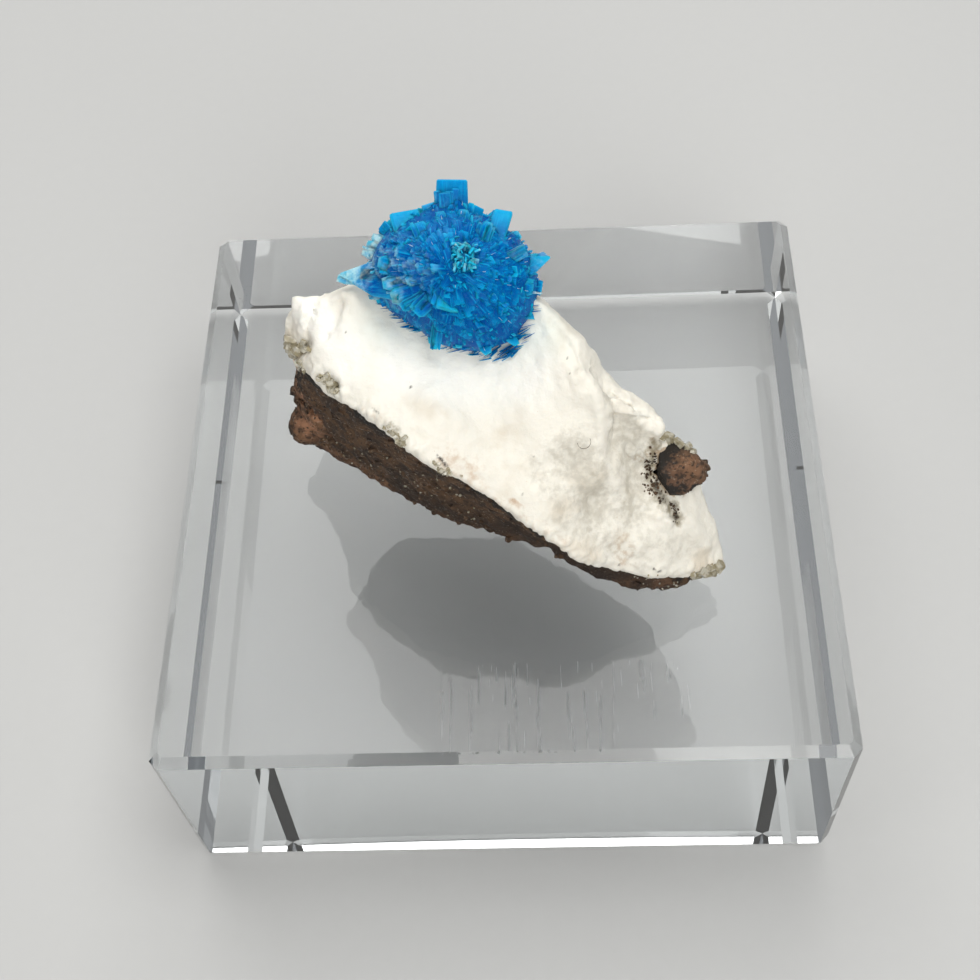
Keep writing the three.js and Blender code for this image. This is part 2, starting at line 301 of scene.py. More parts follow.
def addGrains(piece, chance, places, sizes, rise):  # small broken grains set into a surface
    parts = []
    for place, up in places:
        size = chance.triangular(*sizes, sizes[0])
        mesh = grainMaster.data.copy()
        turn = Matrix.Rotation(chance.uniform(0, 6.28), 4, Vector([chance.gauss(0, 1) for _ in range(3)]))
        shape = Matrix.Diagonal((size, size * chance.uniform(0.6, 1), size * chance.uniform(0.5, 1), 1))
        mesh.transform(Matrix.Translation(place + up * size * rise) @ turn @ shape)
        parts.append(addObject("grain", mesh))
    joinInto(piece, parts)


def addCurl(piece, tree, curl):  # a fine curled fibre that lies on the surface
    place, up = onSurface(tree, *curl["pixel"])
    bpy.ops.mesh.primitive_torus_add(
        major_radius=curl["radius"], minor_radius=curl["thickness"], major_segments=40, minor_segments=6
    )
    fibre = bpy.context.object
    bpy.ops.object.mode_set(mode="EDIT")
    bpy.ops.mesh.select_all(action="SELECT")
    bpy.ops.mesh.bisect(plane_co=(0, 0.1, 0), plane_no=(0.4, 1, 0), use_fill=True, clear_outer=True)
    bpy.ops.object.mode_set(mode="OBJECT")
    turn = up.to_track_quat("Z", "Y").to_matrix().to_4x4()
    spin = Matrix.Rotation(math.radians(curl["spin"]), 4, "Z")
    fibre.data.transform(Matrix.Translation(place + up * curl["thickness"]) @ turn @ spin)
    joinInto(piece, [fibre])


def makeGrainMaster():  # a chipped cube
    bpy.ops.mesh.primitive_cube_add(size=1)
    grain = bpy.context.object
    grain.name = "grainMaster"
    applyModifier(grain, "BEVEL", width=0.18, segments=1, limit_method="NONE", affect="VERTICES")
    return grain


# Small helpers for the materials, where id_data of a socket or a node is its tree
def newMaterial(name, **values):
    material = bpy.data.materials.new(name)
    material.use_nodes = True
    shader = material.node_tree.nodes["Principled BSDF"]
    for socket, value in values.items():
        shader.inputs[socket].default_value = value
    return material, material.node_tree, shader


def addNode(tree, kind, inputs=(), **settings):
    node = tree.nodes.new(kind)
    for name, value in settings.items():
        setattr(node, name, value)
    for socket, value in dict(inputs).items():
        if hasattr(value, "is_output"):
            tree.links.new(value, node.inputs[socket])
        else:
            node.inputs[socket].default_value = value
    return node


def link(value, shader, socket):
    shader.id_data.links.new(value, shader.inputs[socket])


def objectPlace(tree, stretch=(1, 1, 1), turn=(0, 0, 0)):
    place = addNode(tree, "ShaderNodeTexCoord").outputs["Object"]
    inputs = {"Vector": place, "Scale": stretch, "Rotation": turn}
    return addNode(tree, "ShaderNodeMapping", inputs).outputs[0]


def grainNoise(tree, size, detail=3.0, place=None):  # size in mm
    place = place or objectPlace(tree)
    inputs = {"Vector": place, "Scale": 1 / (size * mm), "Detail": detail, "Roughness": 0.55}
    return addNode(tree, "ShaderNodeTexNoise", inputs).outputs["Fac"]


def cells(tree, size):  # size in mm
    inputs = {"Vector": objectPlace(tree), "Scale": 1 / (size * mm)}
    return addNode(tree, "ShaderNodeTexVoronoi", inputs).outputs["Distance"]


def window(value, low, high, first=0.0, last=1.0):  # a value stretched between two limits
    inputs = {"Value": value, 1: low, 2: high, 3: first, 4: last}
    settings = {"interpolation_type": "SMOOTHSTEP"}
    return addNode(value.id_data, "ShaderNodeMapRange", inputs, **settings).outputs[0]


def worked(operation, first, second):
    inputs = {0: first, 1: second}
    return addNode(first.id_data, "ShaderNodeMath", inputs, operation=operation).outputs[0]


def times(first, second):
    return worked("MULTIPLY", first, second)


def mixed(share, first, second):
    inputs = {"Factor": share, 6: first, 7: second}
    return addNode(share.id_data, "ShaderNodeMix", inputs, data_type="RGBA").outputs[2]


def coats(colour, *layers):  # each layer: how far it covers, and its colour
    for cover, coat in layers:
        colour = mixed(cover, colour, coat)
    return colour


def painted(tree, name):
    return addNode(tree, "ShaderNodeAttribute", attribute_name=name).outputs["Fac"]


def addBump(shader, *layers):  # each layer: a value and its depth in mm
    normal = None
    for height, depth in layers:
        inputs = {"Height": height, "Distance": depth * mm, "Strength": 1.0}
        if normal:
            inputs["Normal"] = normal
        normal = addNode(shader.id_data, "ShaderNodeBump", inputs).outputs[0]
    link(normal, shader, "Normal")


grainMaster = makeGrainMaster()

# Floor and soft light
studioValues = {
    "floorSide": 1.6,
    "floorDrop": 0.0001,  # metres of air under the block, which keeps its underside clear
    "floorColour": (0.50, 0.50, 0.495, 1),
    "floorShade": (0.485, 0.485, 0.48015, 1),
    "skyColour": (0.93, 0.96, 1.0, 1),
    "skyStrength": 0.2,
    "lights": [  # name, place in metres, side in metres, power, colour
        ("backPanel", (-0.05, 0.26, 0.38), 0.46, 1.55, (1.0, 0.99, 0.96)),
        ("topPanel", (0.12, -0.02, 0.42), 0.20, 0.7, (1.0, 1.0, 0.98)),
        ("frontPanel", (0.10, -0.40, 0.26), 0.30, 1.3, (1.0, 0.99, 0.96)),
        ("sidePanel", (-0.34, -0.14, 0.17), 0.16, 0.20, (1.0, 0.98, 0.95)),
    ],
    "aim": (0, 0, 0.03),
}


def addStudio():
    values = studioValues
    bpy.ops.mesh.primitive_plane_add(size=values["floorSide"], location=(0, 0, -values["floorDrop"]))
    floor = bpy.context.object
    floor.name = "floor"
    material, tree, shader = newMaterial("paleFloor", Roughness=0.6)
    shade = grainNoise(tree, 1.2, 4)
    link(mixed(shade, values["floorShade"], values["floorColour"]), shader, "Base Color")
    floor.data.materials.append(material)
    world = bpy.data.worlds.new("softSky")
    world.use_nodes = True
    sky = world.node_tree.nodes["Background"].inputs
    sky["Color"].default_value = values["skyColour"]
    sky["Strength"].default_value = values["skyStrength"]
    bpy.context.scene.world = world
    for name, place, side, power, colour in values["lights"]:
        light = bpy.data.lights.new(name, "AREA")
        light.shape = "SQUARE"
        light.size = side
        light.energy = power
        light.color = colour
        panel = addObject(name, light)
        panel.location = place
        aim = Vector(values["aim"]) - Vector(place)
        panel.rotation_euler = aim.to_track_quat("-Z", "Y").to_euler()
    bpy.context.scene.view_settings.view_transform = "Standard"


addStudio()
print("floor and lights done")

# Acrylic block: the CAD solid in clear polished acrylic
blockValues = {
    "colour": (0.985, 0.992, 0.995, 1),
    "ior": 1.49,
    "absorbColour": (0.72, 0.86, 0.92, 1),
    "absorbDensity": 3.0,
    "scratchSize": 0.3,
    "scratchedPart": (-0.01, 0.02, -0.014, -0.021),  # left, right, back and front in metres
    "scratchElsewhere": 0.05,
    "scratchRoughness": 0.45,
}


def acrylicMaterial():
    values = blockValues
    material, tree, shader = newMaterial(
        "clearAcrylic",
        **{"Base Color": values["colour"], "IOR": values["ior"], "Transmission Weight": 1.0},
        Roughness=0.0,
    )
    place = objectPlace(tree, (1, 0.05, 1), (0, 0, 0.05))
    scratch = window(grainNoise(tree, values["scratchSize"], 2, place=place), 0.59, 0.63)
    where = addNode(tree, "ShaderNodeSeparateXYZ", {"Vector": objectPlace(tree)}).outputs
    left, right, back, front = values["scratchedPart"]
    worn = window(where["X"], left, left + 0.01)
    worn = times(worn, window(where["X"], right, right - 0.01))
    worn = times(worn, window(where["Y"], back, front))
    scratch = times(scratch, worked("MAXIMUM", worn, values["scratchElsewhere"]))
    top = blockTop * mm
    scratch = times(scratch, window(where["Z"], top - 0.0002, top - 0.0001))
    link(window(scratch, 0, 1, 0, values["scratchRoughness"]), shader, "Roughness")
    absorb = {"Color": values["absorbColour"], "Density": values["absorbDensity"]}
    volume = addNode(tree, "ShaderNodeVolumeAbsorption", absorb)
    tree.links.new(volume.outputs[0], tree.nodes["Material Output"].inputs["Volume"])
    return material


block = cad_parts["acrylic_block"]
block.data.materials.clear()
block.data.materials.append(acrylicMaterial())
print("acrylic block dressed")

# Basalt: broken, pitted rock
basaltValues = {
    "voxel": 0.2,
    "smoothing": 2,
    "swell": 0.14,
    "coarse": (1.7, 0.75),  # pattern size and height in mm
    "facets": 1700,  # faces of the broken shape before it gets its grain
    "fineVoxel": 0.195,
    "pits": (0.9, 0.34),
    "fine": (0.33, 0.24),
    "dark": (0.026, 0.015, 0.009, 1),
    "brown": (0.098, 0.052, 0.024, 1),
    "red": (0.330, 0.162, 0.086, 1),
    "grain": (0.42, 0.34, 0.25, 1),
    # painted shadow colour for the rock just under the crust's overhanging edge
    "lip": (0.010, 0.008, 0.006, 1),
    "gritSizes": (0.06, 0.22),
    "gritRise": 0.15,
    "air": 0.02,  # between the foot and the block, where they would touch
    "grainCount": 800,
    "grainSizes": (0.15, 0.55),
    "curl": {"pixel": (584, 442), "radius": 0.46, "thickness": 0.014, "spin": 30},
}
basaltFeatures = [  # pixels along it, width and height in mm
    ([(673, 452)], 1.1, 0.8),
    ([(675, 484)], 1.1, 0.5),
    ([(686, 464)], 1.7, 0.3),
    ([(316, 410)], 1.0, 0.3),
    ([(360, 440), (392, 466)], 0.8, 0.25),
    ([(345, 452)], 0.7, -0.25),
    ([(404, 476)], 0.7, -0.25),
]
basaltCuts = [  # broken faces: angle in the picture, tilt to the viewer, distance from the knob's middle
    {"pixel": (682, 467), "depth": 1.6, "reach": 3.2, "faces": [
        (53, 8, 1.2), (-15, 8, 1.66), (-65, 8, 1.7), (-138, 8, 1.85), (180, 8, 1.7), (90, 8, 2.0),
        (140, 58, 1.22), (35, 55, 1.3), (-85, 50, 1.3),
    ]},
    {"pixel": (312, 418), "depth": 1.3, "reach": 2.6, "faces": [
        (231, 8, 1.35), (180, 8, 1.35), (120, 60, 1.0), (-60, 50, 1.05), (-110, 20, 1.3),
    ]},
    {"pixel": (296, 393), "depth": 0.8, "reach": 1.4, "faces": [
        (180, 10, 0.62), (100, 30, 0.6), (20, 45, 0.6), (-90, 40, 0.62),
    ]},
]
grit = [  # pixels along it, spread in pixels, count
    ([(655, 452), (653, 470), (656, 488), (664, 500)], 3.0, 62),
    ([(664, 500), (672, 506), (676, 514)], 2.0, 18),
    ([(676, 508), (676, 523)], 1.1, 9),
    ([(648, 462), (650, 492)], 3.4, 34),
]
basaltPatches = {  # pixels along it, radius in mm, strength
    "reddish": [
        ([(300, 395), (312, 420), (306, 428)], 2.6, 1.0),
        ([(684, 462), (690, 480)], 3.4, 0.4),
        ([(330, 450), (380, 480)], 1.8, 0.45),
        ([(640, 580), (660, 583)], 2.0, 0.35),
    ],
    "shaded": [
        ([(400, 488), (500, 530), (560, 552), (620, 574)], 2.6, 1.0),
        ([(640, 582), (690, 584)], 2.4, 0.9),
    ],
}


def basaltMaterial():
    values = basaltValues
    material, tree, shader = newMaterial("brownBasalt", Roughness=0.75)
    cloud = window(grainNoise(tree, 1.6, 5), 0.35, 0.65)
    rusty = times(painted(tree, "reddish"), window(grainNoise(tree, 0.9), 0.3, 0.6))
    speck = window(grainNoise(tree, 0.2, 3), 0.6, 0.68)
    ragged = window(grainNoise(tree, 0.7, 4), 0.3, 0.7, -0.25, 0.25)
    # painted shadow: the rock is darkened close under the crust's overhanging edge
    lip = worked("ADD", painted(tree, "shadowUnderLip"), ragged)
    colour = coats(
        mixed(cloud, values["dark"], values["brown"]),
        (rusty, values["red"]),
        (times(speck, 0.3), values["grain"]),
        (window(grainNoise(tree, 0.3, 3), 0.45, 0.36, 0, 0.8), values["dark"]),  # smut
        (window(cells(tree, 0.55), 0.28, 0.12), values["dark"]),  # pits
        (times(painted(tree, "shaded"), 0.85), values["dark"]),
        (window(lip, 0.4, 0.7, 0, 0.95), values["lip"]),
    )
    link(colour, shader, "Base Color")
    link(window(speck, 0, 1, 0.8, 0.35), shader, "Roughness")
    addBump(shader, (grainNoise(tree, 0.3, 4), 0.08), (grainNoise(tree, 0.09, 3), 0.025))
    return material


def makeBasalt():
    values = basaltValues
    piece = enlargedCopy("basalt_matrix", "basaltRock")
    remesh(piece, values["voxel"])
    soften(piece, values["smoothing"])
    swell(piece, values["swell"])
    roughen(piece, "CLOUDS", *values["coarse"])
    applyModifier(piece, "TRIANGULATE")
    applyModifier(piece, "DECIMATE", ratio=values["facets"] / len(piece.data.polygons))
    remesh(piece, values["fineVoxel"])
    mould(piece, basaltFeatures)
    for cut in basaltCuts:
        shave(piece, cut)
    roughen(piece, "VORONOI", *values["pits"], distance_metric="DISTANCE")
    roughen(piece, "CLOUDS", *values["fine"])
    bpy.ops.object.shade_smooth()
    return piece


basalt = makeBasalt()
print("basalt shaped,", len(basalt.data.polygons), "faces")

# Zeolite crust: soft white lumps
crustValues = {
    "voxel": 0.17,
    "smoothing": 6,
    "swell": 0.12,
    "coarse": (2.2, 0.4),
    "middle": (0.9, 0.16),
    "fine": (0.35, 0.05),
    "white": (0.80, 0.765, 0.68, 1),
    # painted light: a paler white laid on the upper and left crust
    "pale": (0.90, 0.885, 0.83, 1),
    "cream": (0.68, 0.61, 0.50, 1),
    # greyer crust, partly its own tone and partly painted shade
    "greyAndPaintedShade": (0.52, 0.485, 0.41, 1),
    "tan": (0.50, 0.33, 0.20, 1),
    "olive": (0.20, 0.16, 0.085, 1),
    "dirt": (0.035, 0.028, 0.02, 1),
    "skyTint": (0.66, 0.82, 0.82, 1),
    "stain": (0.36, 0.25, 0.15, 1),
    "surface": {
        "Roughness": 0.55,
        "Subsurface Weight": 0.12,
        "Subsurface Radius": (1.0, 0.8, 0.6),
        "Subsurface Scale": 0.6 * mm,
    },
    "lumpSize": 0.7,
    "lumpHeight": 0.55,
}
crustFeatures = [  # pixels along it, width and height in mm
    ([(596, 384), (602, 404), (603, 428), (600, 456), (597, 482)], 0.8, 0.42),
    ([(570, 326), (582, 342)], 0.7, 0.25),
    ([(600, 372), (618, 386), (636, 399), (650, 411)], 1.2, -0.85),
    ([(622, 420), (632, 446), (640, 474), (640, 500)], 1.5, -0.75),
    ([(612, 392), (618, 420), (616, 450)], 0.5, -0.4),
    ([(552, 322), (564, 338), (574, 354), (580, 372)], 0.35, -0.3),
    ([(338, 303), (331, 320), (324, 334)], 0.5, -0.5),
    ([(310, 312)], 1.1, 0.4),
    ([(332, 388)], 0.55, -0.7),
    ([(306, 342), (298, 350)], 0.6, -0.35),
    ([(648, 432)], 0.6, 0.3),
    ([(666, 446)], 0.9, -0.6),
    ([(324, 380)], 0.6, -0.6),
    ([(346, 408)], 0.5, 0.35),
    ([(362, 417)], 0.4, 0.35),
    ([(388, 437)], 0.6, -0.6),
    ([(412, 448)], 0.4, 0.3),
    ([(441, 476)], 0.45, -0.4),
    ([(518, 524)], 0.5, 0.3),
    ([(548, 541)], 0.4, -0.3),
    ([(626, 402)], 0.8, 0.35),
    ([(637, 415)], 0.5, 0.25),
    ([(545, 500)], 1.6, 0.35),
    ([(594, 500)], 0.9, -0.4),
    ([(610, 530)], 1.2, 0.3),
    ([(560, 470)], 1.5, -0.3),
    ([(690, 520), (705, 545)], 0.6, 0.3),
    ([(672, 500), (678, 524)], 0.4, -0.4),
    ([(640, 545)], 1.2, 0.3),
    ([(430, 400), (470, 440)], 1.3, 0.2),
    ([(400, 400), (420, 440)], 0.6, -0.2),
]
crustCuts = [
    {"pixel": (303, 313), "depth": 1.2, "reach": 1.95, "faces": [
        (177, 0, 0.72), (92, 5, 1.08), (-70, 58, 1.05), (10, 65, 1.1),
    ]},
]
lumpZones = [  # pixels along it, radius in mm, strength
    ([(318, 372), (345, 398), (372, 414), (396, 426), (414, 446)], 1.6, 1.0),
    ([(430, 462), (460, 482), (500, 508), (540, 530), (590, 558)], 1.2, 0.9),
    ([(600, 386), (622, 398), (640, 414), (656, 432)], 1.5, 0.9),
    ([(650, 445), (648, 470), (652, 500), (672, 520)], 1.6, 0.9),
    ([(600, 560), (640, 568), (680, 572), (712, 566)], 1.1, 0.7),
    ([(300, 306), (300, 330)], 1.4, 0.5),
    ([(560, 490), (600, 500), (620, 530)], 2.2, 0.35),
]


def crustMaterial():
    values = crustValues
    material, tree, shader = newMaterial("whiteZeolite", **values["surface"])
    cloud = window(grainNoise(tree, 3.5), 0.5, 0.75)
    ragged = window(grainNoise(tree, 0.5, 5), 0.3, 0.7)
    colour = coats(
        mixed(cloud, values["white"], values["cream"]),
        (painted(tree, "skyTint"), values["skyTint"]),
        # painted light on the upper and left crust
        (painted(tree, "pale"), values["pale"]),
    )
    # the grey layer is partly the crust's own grey and partly painted shade
    for name, edge in (("greyAndPaintedShade", 0.9), ("tan", 0.8), ("olive", 0.8), ("dirt", 1.0)):
        cover = worked("ADD", painted(tree, name), times(ragged, 0.5))
        colour = mixed(window(cover, 0.5, 1.4, 0, edge), colour, values[name])
    brown = times(painted(tree, "atRock"), window(ragged, 0, 1, 0.4, 1.2))
    colour = coats(
        colour,
        (window(brown, 0.35, 0.9, 0, 0.8), values["stain"]),
        (window(grainNoise(tree, 0.22, 1), 0.79, 0.82, 0, 0.5), values["tan"]),  # flecks
    )
    link(colour, shader, "Base Color")
    addBump(shader, (grainNoise(tree, 0.5, 4), 0.08), (grainNoise(tree, 0.12, 3), 0.025))
    return material


crustPatches = {  # pixels along it, radius in mm, strength
    "skyTint": [
        ([(380, 325), (440, 372), (500, 372), (545, 330)], 3.2, 0.3),
    ],
    # painted light: paler patches on the upper and left crust
    "pale": [
        ([(300, 310), (330, 330), (350, 360)], 3.0, 0.8),
        ([(400, 370), (460, 385), (530, 380)], 3.2, 0.8),
    ],
    "tan": [
        ([(456, 458), (470, 470)], 1.2, 0.6),
        ([(513, 500), (518, 506)], 0.6, 0.8),
        ([(448, 462), (472, 474)], 2.2, 0.6),
        ([(448, 470), (500, 505), (560, 540)], 1.4, 0.45),
        ([(620, 540), (625, 560)], 1.6, 0.5),
        ([(655, 436), (648, 455)], 0.7, 0.6),
        ([(362, 408), (385, 420)], 0.8, 0.4),
        ([(300, 352)], 1.3, 0.9),
    ],
    "olive": [
        ([(288, 343), (298, 350), (308, 348)], 1.1, 1.0),
        ([(326, 380), (334, 392)], 0.7, 1.0),
        ([(700, 576), (720, 567)], 0.8, 1.0),
        ([(594, 475), (600, 480)], 0.8, 0.35),
        ([(392, 424), (398, 432)], 0.5, 0.8),
        ([(655, 442), (652, 470), (660, 495), (676, 515)], 1.2, 0.95),
        ([(676, 505), (677, 524)], 0.6, 1.0),
    ],
    # greyer crust, partly its own tone and partly painted shade, right of the ridge and on the lower right
    "greyAndPaintedShade": [
        ([(575, 455), (590, 480), (590, 510)], 3.6, 0.95),
        ([(622, 430), (636, 470), (630, 510)], 3.0, 0.85),
        ([(560, 520), (600, 540), (640, 560)], 2.0, 0.6),
        ([(606, 395), (612, 430)], 1.2, 0.9),
        ([(640, 540), (690, 550)], 2.4, 0.5),
        ([(535, 470), (560, 500)], 2.0, 0.6),
    ],
    "dirt": [
        ([(658, 470), (657, 490), (664, 500)], 0.6, 0.8),
        ([(675, 505), (676, 518)], 0.4, 0.9),
        ([(437, 455), (444, 462), (450, 472)], 0.25, 1.0),
        ([(373, 409), (378, 413)], 0.25, 0.9),
        ([(654, 569), (660, 572)], 0.3, 0.9),
        ([(660, 440)], 0.35, 0.8),
        ([(411, 387)], 0.2, 1.0),
        ([(346, 332)], 0.2, 1.0),
        ([(567, 358)], 0.17, 1.0),
        ([(570, 373)], 0.15, 0.9),
        ([(534, 456)], 0.15, 0.8),
        ([(522, 494)], 0.2, 0.9),
        ([(619, 565)], 0.2, 0.9),
    ],
}


def makeCrust():
    values = crustValues
    piece = enlargedCopy("zeolite_crust", "crustBlanket")
    swell(piece, values["swell"])
    remesh(piece, values["voxel"])
    soften(piece, values["smoothing"])
    swell(piece, values["swell"])
    roughen(piece, "CLOUDS", *values["coarse"])
    mould(piece, crustFeatures)
    for cut in crustCuts:
        shave(piece, cut)
    lumps(piece, lumpZones, values["lumpSize"], values["lumpHeight"], surfaceTree(basalt, piece))
    roughen(piece, "CLOUDS", *values["middle"])
    roughen(piece, "CLOUDS", *values["fine"])
    bpy.ops.object.shade_smooth()
    return piece


crust = makeCrust()
stoneTree = surfaceTree(basalt, crust)
for piece, layers in ((crust, crustPatches), (basalt, basaltPatches)):
    for layerName, patches in layers.items():
        setLayer(piece.data, layerName, patchCover(corners(piece), patches, stoneTree))
paintNear(crust, "atRock", surfaceTree(basalt), 0.55)
# painted shadow on the rock next to the crust's edge
paintNear(basalt, "shadowUnderLip", surfaceTree(crust), 2.4)
chance = random.Random(3)
grainPlaces = facePlaces(basalt, chance, basaltValues["grainCount"])
addGrains(basalt, chance, grainPlaces, basaltValues["grainSizes"], 0.0)
addCurl(basalt, stoneTree, basaltValues["curl"])
for patch in grit:
    gritPlaces = scatter(chance, stoneTree, *patch)
    addGrains(basalt, chance, gritPlaces, basaltValues["gritSizes"], basaltValues["gritRise"])
standOnBlock(basalt)
print("crust shaped and painted,", len(crust.data.polygons), "faces")

# Small glassy crystals: clear yellowish grains in pockets of the crust and on the rock
glassValues = {
    "colour": (0.50, 0.44, 0.29, 1),
    # the crystals' own paler tone
    "pale": (0.80, 0.76, 0.64, 1),
    "ior": 1.5,
    "clearness": 0.5,
    "rise": 0.1,  # of a crystal's size, from the surface to its middle
}
glassPockets = [  # pixels along it, spread in pixels, count, smallest and largest in mm
    ([(286, 342), (294, 348), (306, 349)], 2.6, 46, (0.25, 0.85)),
    ([(290, 352), (298, 360), (306, 372)], 1.8, 22, (0.2, 0.5)),
    ([(321, 378), (330, 382), (335, 394)], 2.4, 34, (0.2, 0.6)),
    ([(692, 577), (706, 572), (719, 566)], 2.0, 44, (0.25, 0.9)),
    ([(665, 437), (676, 441), (694, 450)], 2.0, 46, (0.25, 0.75)),
    ([(386, 428), (398, 436), (404, 446)], 1.8, 20, (0.15, 0.45)),
    ([(432, 461), (444, 470), (450, 478)], 1.5, 14, (0.12, 0.35)),
    ([(330, 440), (420, 490), (480, 515)], 9.0, 40, (0.1, 0.24)),
    ([(630, 578), (680, 584)], 4.0, 16, (0.1, 0.24)),
]


def glassMaterial():
    values = glassValues
    settings = {"IOR": values["ior"], "Transmission Weight": values["clearness"]}
    material, tree, shader = newMaterial("glassyZeolite", **settings, Roughness=0.12)
    cloud = window(grainNoise(tree, 0.5, 3), 0.4, 0.6)
    link(mixed(cloud, values["colour"], values["pale"]), shader, "Base Color")
    return material


def makeGlass():
    chance = random.Random(5)
    piece = addObject("glassyCrystals", bpy.data.meshes.new("glassyCrystals"))
    for *pocket, sizes in glassPockets:
        places = scatter(chance, stoneTree, *pocket)
        addGrains(piece, chance, places, sizes, glassValues["rise"])
    standOnBlock(piece)
    return piece


glass = makeGlass()
print("glassy crystals set,", len(glass.data.polygons), "faces")

# Cavansite: broad blades at the rim of a mound, and fine needles that spread over it
rosetteValues = {
    "centre": (-2.3, 0.2, 21.8 + blockTop),
    "radii": (6.3, 4.9, 4.9),
    "heartShare": 0.925,  # of the mound, a solid heart of fused blades
    "spiralRise": (0.995, -0.355),  # from just off its top to below its middle
    "fusedBlades": 1900,
    "fusedLength": (1.6, 4.2),
    "fusedWidth": (0.28, 1.0),
    "fusedHeight": 0.34,
    "fusedNear": 22,  # blade ends that a place on the skin is compared with
    "fusedTurn": 0.24,  # radians that their axes scatter by
    "crown": (452, 268),  # pixel that the needles spread from
    "spread": 1.5,  # how far a needle leans away from the crown
    "rimFan": 12,  # narrower blades beside a broad one
    "frontFan": 6,
    "frontFoot": 0.74,  # of the mound
    "needles": 1200,
    "needleLength": (1.2, 2.6),
    "needleWidth": (0.12, 0.75),
    "flakes": 120,  # thin pale blades among the needles, painted glints
    "streakShift": (37, 11, 53),  # moves the streaks from blade to blade
    "thickness": 0.32,  # of a blade's width
    "thickest": 0.45,
    "deep": (0.0, 0.085, 0.36, 1),
    "blue": (0.0, 0.180, 0.52, 1),
    "bright": (0.003, 0.42, 0.76, 1),
    # painted highlight colour for blade edges and ends
    "rim": (0.03, 0.58, 0.86, 1),
    "frost": (0.56, 0.83, 0.91, 1),
    "surface": {
        "Roughness": 0.22,
        "IOR": 1.54,
        "Specular IOR Level": 0.08,
        "Specular Tint": (0.35, 0.75, 1.0, 1),
        "Transmission Weight": 0.1,
        "Subsurface Weight": 0.8,
        "Subsurface Radius": (0.7, 0.85, 1.0),
        "Subsurface Scale": 0.35 * mm,
    },
    "marginStep": 3.4,  # pixels
    "marginLength": (9, 20),
    "rearBlades": 70,
    "rearAzimuth": (35, 150),
    "rearElevation": (-26, 34),
    "rearWidth": (0.5, 1.9),
    "rearLength": (2.0, 3.2),
    "rearSpread": (1.5, 2.4),  # how far a rear blade leans away from the crown
    "cluster": (465, 258),  # pixel of the pale bunch seen end on
    "clusterSize": (11, 13),  # pixels either way
    "clusterBlades": 75,
}
rimBlades = [  # azimuth, elevation, length, width, roll, frost, share of the mound beside it, shape
    (86, 45, 6.55, 2.05, 0, 0.1, 0.95, 0),
    (98, 46, 5.9, 0.8, 30, 0.3, 0.96, 0),
    (43, 31, 5.5, 0.9, 0, 0.1, 0.86, 1),
    (24, 20, 5.5, 0.9, 20, 0.3, 0.85, 1),
    (8, 8, 6.2, 0.9, 0, 0.3, 0.90, 1),
    (-10, 0, 6.2, 1.0, 20, 0.1, 0.92, 0),
    (-26, -8, 6.4, 1.0, 0, 0, 1.02, 1),
    (-46, -15, 6.5, 0.9, -20, -0.2, 1.10, 1),
    (-65, -16, 6.0, 0.8, 10, -0.2, 1.10, 1),
    (-84, -15, 5.1, 0.6, -10, -0.1, 1.0, 1),
    (-106, -15, 4.9, 0.8, 0, 0.1, 0.88, 1),
    (-130, -10, 4.2, 0.9, 15, 0.3, 0.74, 1),
    (-150, -8, 4.4, 0.9, -10, 0.4, 0.72, 0),
    (-166, 0, 5.7, 1.3, 25, 0.6, 0.86, 1),
    (-177, 9, 6.0, 1.2, 0, 0.6, 0.94, 1),
    (165, 20, 5.8, 0.8, 10, 0.8, 0.94, 1),
    (150, 32, 5.7, 1.1, -20, 0.2, 0.94, 1),
    (131, 39, 5.2, 1.2, 0, 0.0, 0.95, 1),
    (110, 44, 5.2, 1.1, 10, 0.3, 0.94, 0),
    (60, 10, 5.4, 1.4, 10, 0.1, 0.92, 0),
    (95, 15, 5.1, 1.3, -20, 0.2, 0.93, 1),
    (125, 10, 5.5, 1.5, 15, 0.1, 0.92, 0),
    (75, -12, 5.2, 1.2, 0, 0.0, 0.92, 1),
    (110, -12, 5.1, 1.2, 30, 0.1, 0.93, 0),
    (145, -5, 5.8, 1.3, -10, 0.3, 0.95, 1),
    (40, -5, 6.0, 1.4, 20, 0.0, 0.93, 0),
]
